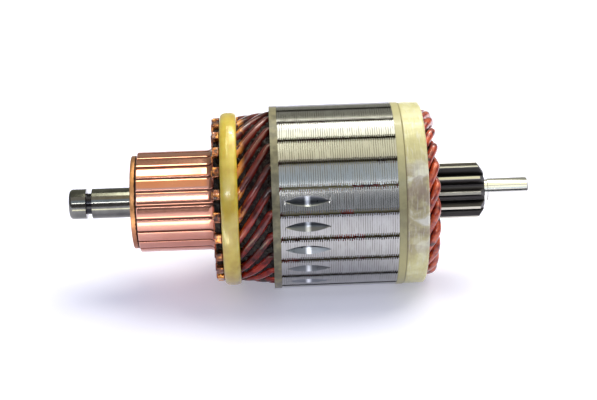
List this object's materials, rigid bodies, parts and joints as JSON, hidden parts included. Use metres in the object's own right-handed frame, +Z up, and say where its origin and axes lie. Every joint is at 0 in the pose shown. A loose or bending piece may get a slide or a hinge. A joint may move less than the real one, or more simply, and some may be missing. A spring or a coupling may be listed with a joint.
{
  "type": "motor armature",
  "caption": "Wound starter-motor armature: laminated core with wave-wound hairpin coils, copper bar commutator, banded end turns and a shaft with integral sun gear.",
  "frame": {"origin": "on the shaft's axis, at the middle of the bearing journal beside the commutator", "axes": "+X along the shaft from the commutator towards the sun gear and pilot; +Z up, through the middle of one slot"},
  "size_m": [0.1659, 0.066, 0.066],
  "materials": {
    "shaft_steel": "ground and hardened steel, darkened at the gear and bright at the pilot",
    "lamination_steel": "stacked electrical-steel laminations, turned outside",
    "plate_insulation": "varnished pressed insulating board",
    "liner_paper": "varnished insulating paper",
    "hub_moulding": "dark moulded resin",
    "bush_steel": "plain steel",
    "strip_insulation": "mica strip darkened by varnish",
    "ring_copper": "turned copper, browned",
    "bar_copper": "fine-turned copper",
    "coil_enamel": null,
    "cord_resin": "resin-soaked cord, glossy yellow",
    "glass_resin": "resin-soaked glass-fibre tape, mottled"
  },
  "bodies": {
    "root": {"shaft": "shaft_steel", "core_laminations": "lamination_steel", "end_plate_commutator": "plate_insulation", "end_plate_drive": "plate_insulation", "slot_liners": "liner_paper", "layer_sleeve_commutator": "liner_paper", "layer_sleeve_drive": "liner_paper", "commutator_hub": "hub_moulding", "commutator_bush": "bush_steel", "bar_insulation": "strip_insulation", "front_ring": "ring_copper", "cord_band": "cord_resin", "glass_band": "glass_resin", "commutator_bar_01": "bar_copper", "commutator_bar_02": "bar_copper", "commutator_bar_03": "bar_copper", "commutator_bar_04": "bar_copper", "commutator_bar_05": "bar_copper", "commutator_bar_06": "bar_copper", "commutator_bar_07": "bar_copper", "commutator_bar_08": "bar_copper", "commutator_bar_09": "bar_copper", "commutator_bar_10": "bar_copper", "commutator_bar_11": "bar_copper", "commutator_bar_12": "bar_copper", "commutator_bar_13": "bar_copper", "commutator_bar_14": "bar_copper", "commutator_bar_15": "bar_copper", "commutator_bar_16": "bar_copper", "commutator_bar_17": "bar_copper", "commutator_bar_18": "bar_copper", "commutator_bar_19": "bar_copper", "commutator_bar_20": "bar_copper", "commutator_bar_21": "bar_copper", "commutator_bar_22": "bar_copper", "commutator_bar_23": "bar_copper", "coil_01": "coil_enamel", "coil_02": "coil_enamel", "coil_03": "coil_enamel", "coil_04": "coil_enamel", "coil_05": "coil_enamel", "coil_06": "coil_enamel", "coil_07": "coil_enamel", "coil_08": "coil_enamel", "coil_09": "coil_enamel", "coil_10": "coil_enamel", "coil_11": "coil_enamel", "coil_12": "coil_enamel", "coil_13": "coil_enamel", "coil_14": "coil_enamel", "coil_15": "coil_enamel", "coil_16": "coil_enamel", "coil_17": "coil_enamel", "coil_18": "coil_enamel", "coil_19": "coil_enamel", "coil_20": "coil_enamel", "coil_21": "coil_enamel", "coil_22": "coil_enamel", "coil_23": "coil_enamel"}
  },
  "joints": []
}
